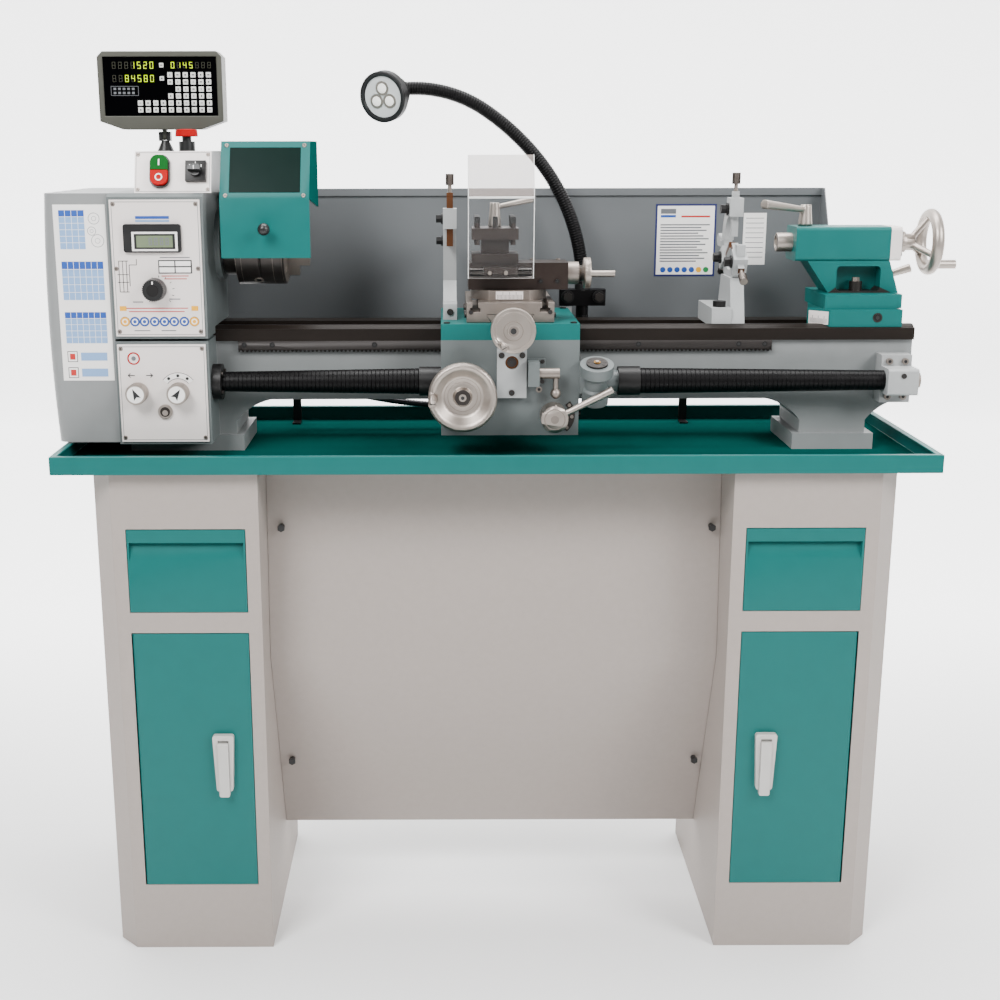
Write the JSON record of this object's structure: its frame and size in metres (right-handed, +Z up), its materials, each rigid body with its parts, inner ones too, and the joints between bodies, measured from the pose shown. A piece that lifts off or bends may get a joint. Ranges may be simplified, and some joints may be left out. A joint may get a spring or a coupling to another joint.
{
  "type": "bench lathe",
  "caption": "Metalworking bench lathe with tray and cabinet stand: headstock with chuck and guard, carriage with tool post, tailstock, rests, readout and work lamp.",
  "frame": {"origin": "on the floor under the middle of the overall box", "axes": "+X along the bed from headstock to tailstock, +Y away from the operator, +Z up"},
  "size_m": [1.398, 0.4284, 1.382],
  "materials": {
    "teal_paint": "gloss enamel",
    "grey_paint": "satin enamel",
    "stand_paint": "fine textured powder coat",
    "dark_sheet": "matt powder coat",
    "cast_ways": "painted casting with ground ways",
    "dark_iron": "blackened",
    "steel": "turned",
    "bright": "polished",
    "dark_steel": "oiled",
    "plate": "printed plate",
    "black_plastic": "moulded",
    "grey_plastic": "moulded",
    "red_plastic": "moulded",
    "green_plastic": "moulded",
    "clear_green": "tinted",
    "clear": "clear",
    "conduit": "ribbed"
  },
  "bodies": {
    "stand_and_bed": {"left_cabinet": "stand_paint", "right_cabinet": "stand_paint", "rear_panel": "stand_paint", "chip_tray": "teal_paint", "bed": "cast_ways", "rack": "dark_steel", "headstock": "grey_paint", "feed_gearbox": "grey_paint", "gear_cover": "grey_paint", "front_plates": "plate", "drive_motor": "dark_iron", "control_box": "grey_paint", "readout_arm": "black_plastic", "leadscrew_bracket": "steel", "splash_guard": "dark_sheet", "left_spiral_cover": "dark_iron", "right_spiral_cover": "dark_iron", "lamp_conduit": "conduit"},
    "spindle": {"spindle": "dark_steel", "chuck": "steel"},
    "chuck_guard": {"chuck_guard": "teal_paint", "guard_window": "clear_green"},
    "carriage": {"saddle": "teal_paint", "apron": "grey_paint", "follow_rest": "grey_paint", "work_lamp": "black_plastic"},
    "left_drawer": {"left_drawer": "teal_paint"},
    "right_drawer": {"right_drawer": "teal_paint"},
    "left_door": {"left_door": "teal_paint"},
    "right_door": {"right_door": "teal_paint"},
    "left_latch_lever": {"left_latch_lever": "grey_plastic"},
    "right_latch_lever": {"right_latch_lever": "grey_plastic"},
    "start_button": {"start_button": "green_plastic"},
    "stop_button": {"stop_button": "red_plastic"},
    "emergency_stop": {"emergency_stop": "red_plastic"},
    "direction_switch": {"direction_switch": "black_plastic"},
    "readout_console": {"readout_console": "grey_plastic"},
    "speed_knob": {"speed_knob": "black_plastic"},
    "feed_direction_knob": {"feed_direction_knob": "bright"},
    "feed_range_knob": {"feed_range_knob": "bright"},
    "leadscrew": {"leadscrew": "steel"},
    "apron_handwheel": {"apron_handwheel": "bright"},
    "half_nut_lever": {"half_nut_lever": "bright"},
    "feed_lever": {"feed_lever": "bright"},
    "thread_dial": {"thread_dial": "bright"},
    "cross_slide": {"cross_slide": "dark_steel"},
    "cross_handwheel": {"cross_handwheel": "bright"},
    "swivel_base": {"swivel_base": "dark_steel"},
    "top_slide": {"top_slide": "dark_iron"},
    "top_slide_handwheel": {"top_slide_handwheel": "bright"},
    "tool_post": {"tool_post": "dark_iron"},
    "tool_post_lever": {"tool_post_lever": "bright"},
    "tool_guard": {"tool_guard": "clear"},
    "steady_rest": {"steady_rest": "grey_paint"},
    "steady_rest_top": {"steady_rest_top": "grey_paint"},
    "tailstock": {"tailstock": "teal_paint"},
    "quill": {"quill": "bright"},
    "tailstock_handwheel": {"tailstock_handwheel": "bright"},
    "quill_lock_lever": {"quill_lock_lever": "bright"},
    "tailstock_clamp_lever": {"tailstock_clamp_lever": "bright"}
  },
  "joints": [
    {"name": "left_drawer_slide", "type": "slide", "parent": "stand_and_bed", "child": "left_drawer", "axis": [0, -1, 0], "range_m": [0, 0.28]},
    {"name": "right_drawer_slide", "type": "slide", "parent": "stand_and_bed", "child": "right_drawer", "axis": [0, -1, 0], "range_m": [0, 0.28]},
    {"name": "left_door_hinge", "type": "hinge", "parent": "stand_and_bed", "child": "left_door", "pos_m": [-0.5765, -0.18475, 0.111], "axis": [0, 0, -1], "range_deg": [0, 95]},
    {"name": "right_door_hinge", "type": "hinge", "parent": "stand_and_bed", "child": "right_door", "pos_m": [0.5105, -0.18475, 0.111], "axis": [0, 0, 1], "range_deg": [0, 95]},
    {"name": "left_latch_lift", "type": "hinge", "parent": "left_door", "child": "left_latch_lever", "pos_m": [-0.4495, -0.19905, 0.35], "axis": [-1, 0, 0], "range_deg": [0, 40]},
    {"name": "right_latch_lift", "type": "hinge", "parent": "right_door", "child": "right_latch_lever", "pos_m": [0.3835, -0.19905, 0.35], "axis": [-1, 0, 0], "range_deg": [0, 40]},
    {"name": "start_button_press", "type": "slide", "parent": "stand_and_bed", "child": "start_button", "axis": [0, 0.9471, -0.321], "range_m": [0, 0.004], "stiffness_N_per_m": 400},
    {"name": "stop_button_press", "type": "slide", "parent": "stand_and_bed", "child": "stop_button", "axis": [0, 0.9471, -0.321], "range_m": [0, 0.004], "stiffness_N_per_m": 400},
    {"name": "emergency_stop_press", "type": "slide", "parent": "stand_and_bed", "child": "emergency_stop", "axis": [0, 0, -1], "range_m": [0, 0.005], "stiffness_N_per_m": 600},
    {"name": "direction_switch_turn", "type": "hinge", "parent": "stand_and_bed", "child": "direction_switch", "pos_m": [-0.47, -0.09575, 1.2055], "axis": [0, -0.9471, 0.321], "range_deg": [-60, 60]},
    {"name": "readout_tilt", "type": "hinge", "parent": "stand_and_bed", "child": "readout_console", "pos_m": [-0.54, 0.04825, 1.257], "axis": [1, 0, 0], "range_deg": [-12, 12]},
    {"name": "spindle_turn", "type": "hinge", "parent": "stand_and_bed", "child": "spindle", "pos_m": [-0.428, 0.02525, 1.095], "axis": [1, 0, 0], "continuous": true},
    {"name": "chuck_guard_lift", "type": "hinge", "parent": "stand_and_bed", "child": "chuck_guard", "pos_m": [-0.436, 0.05225, 1.165], "axis": [-1, 0, 0], "range_deg": [0, 70]},
    {"name": "speed_knob_turn", "type": "hinge", "parent": "stand_and_bed", "child": "speed_knob", "pos_m": [-0.533, -0.12275, 1.038], "axis": [0, -1, 0], "range_deg": [-150, 150]},
    {"name": "feed_direction_turn", "type": "hinge", "parent": "stand_and_bed", "child": "feed_direction_knob", "pos_m": [-0.566, -0.12275, 0.885], "axis": [0, -1, 0], "range_deg": [-45, 45]},
    {"name": "feed_range_turn", "type": "hinge", "parent": "stand_and_bed", "child": "feed_range_knob", "pos_m": [-0.505, -0.12275, 0.885], "axis": [0, -1, 0], "range_deg": [-60, 60]},
    {"name": "leadscrew_turn", "type": "hinge", "parent": "stand_and_bed", "child": "leadscrew", "pos_m": [0.604, -0.08475, 0.895], "axis": [1, 0, 0], "continuous": true},
    {"name": "apron_wheel_turn", "type": "hinge", "parent": "carriage", "child": "apron_handwheel", "pos_m": [-0.082, -0.11475, 0.882], "axis": [0, -1, 0], "range_deg": [-3243.24, 1801.8]},
    {"name": "carriage_slide", "type": "slide", "parent": "stand_and_bed", "child": "carriage", "axis": [1, 0, 0], "range_m": [-0.18, 0.1], "deforming": ["left_spiral_cover", "right_spiral_cover", "lamp_conduit"]},
    {"name": "half_nut_turn", "type": "hinge", "parent": "carriage", "child": "half_nut_lever", "pos_m": [0.0545, -0.11475, 0.848], "axis": [0, 1, 0], "range_deg": [0, 40]},
    {"name": "feed_lever_turn", "type": "hinge", "parent": "carriage", "child": "feed_lever", "pos_m": [0.0315, -0.13475, 0.914], "axis": [-1, 0, 0], "range_deg": [0, 40]},
    {"name": "thread_dial_turn", "type": "hinge", "parent": "carriage", "child": "thread_dial", "pos_m": [0.117, -0.13572, 0.92789], "axis": [0, -0.342, 0.9397], "continuous": true},
    {"name": "cross_wheel_turn", "type": "hinge", "parent": "carriage", "child": "cross_handwheel", "pos_m": [-0.0085, -0.11475, 0.981], "axis": [0, -1, 0], "range_deg": [-7207.2, 3603.6]},
    {"name": "cross_slide_travel", "type": "slide", "parent": "carriage", "child": "cross_slide", "axis": [0, -1, 0], "range_m": [-0.06, 0.03]},
    {"name": "swivel_turn", "type": "hinge", "parent": "cross_slide", "child": "swivel_base", "pos_m": [-0.0105, -0.02175, 1.015], "axis": [0, 0, 1], "range_deg": [-30, 30]},
    {"name": "top_wheel_turn", "type": "hinge", "parent": "top_slide", "child": "top_slide_handwheel", "pos_m": [0.0965, -0.02775, 1.0526], "axis": [-1, 0, 0], "range_deg": [-4204.2, 4204.2]},
    {"name": "top_slide_travel", "type": "slide", "parent": "swivel_base", "child": "top_slide", "axis": [-1, 0, 0], "range_m": [-0.035, 0.035]},
    {"name": "tool_post_turn", "type": "hinge", "parent": "top_slide", "child": "tool_post", "pos_m": [-0.032, -0.02775, 1.0709], "axis": [0, 0, 1], "continuous": true},
    {"name": "tool_post_lever_turn", "type": "hinge", "parent": "top_slide", "child": "tool_post_lever", "pos_m": [-0.032, -0.02775, 1.1219], "axis": [0, 0, 1], "range_deg": [-45, 60]},
    {"name": "tool_guard_fold", "type": "hinge", "parent": "top_slide", "child": "tool_guard", "pos_m": [-0.0105, -0.08575, 1.058], "axis": [1, 0, 0], "range_deg": [0, 80]},
    {"name": "steady_rest_slide", "type": "slide", "parent": "stand_and_bed", "child": "steady_rest", "axis": [1, 0, 0], "range_m": [-0.12, 0]},
    {"name": "steady_rest_open", "type": "hinge", "parent": "steady_rest", "child": "steady_rest_top", "pos_m": [0.343, 0.09725, 1.095], "axis": [-1, 0, 0], "range_deg": [0, 60]},
    {"name": "tailstock_slide", "type": "slide", "parent": "stand_and_bed", "child": "tailstock", "axis": [1, 0, 0], "range_m": [-0.035, 0.01]},
    {"name": "tailstock_wheel_turn", "type": "hinge", "parent": "tailstock", "child": "tailstock_handwheel", "pos_m": [0.596, 0.02525, 1.095], "axis": [-1, 0, 0], "range_deg": [-1801.8, 4054.05]},
    {"name": "quill_slide", "type": "slide", "parent": "tailstock", "child": "quill", "axis": [-1, 0, 0], "range_m": [-0.02, 0.045]},
    {"name": "quill_lock_turn", "type": "hinge", "parent": "tailstock", "child": "quill_lock_lever", "pos_m": [0.453, 0.02525, 1.095], "axis": [0, 0, 1], "range_deg": [0, 35]},
    {"name": "tailstock_clamp_turn", "type": "hinge", "parent": "tailstock", "child": "tailstock_clamp_lever", "pos_m": [0.589, 0.02525, 1.038], "axis": [0, 1, 0], "range_deg": [-20, 30]}
  ],
  "couplings": [
    {"joint": "apron_wheel_turn", "follows": "carriage_slide", "rad_per_m": 314.16},
    {"joint": "cross_wheel_turn", "follows": "cross_slide_travel", "rad_per_m": 2094.4},
    {"joint": "top_wheel_turn", "follows": "top_slide_travel", "rad_per_m": 2094.4},
    {"joint": "tailstock_wheel_turn", "follows": "quill_slide", "rad_per_m": 1570.8},
    {"joint": "leadscrew_turn", "follows": "spindle_turn", "ratio": 0.5}
  ]
}
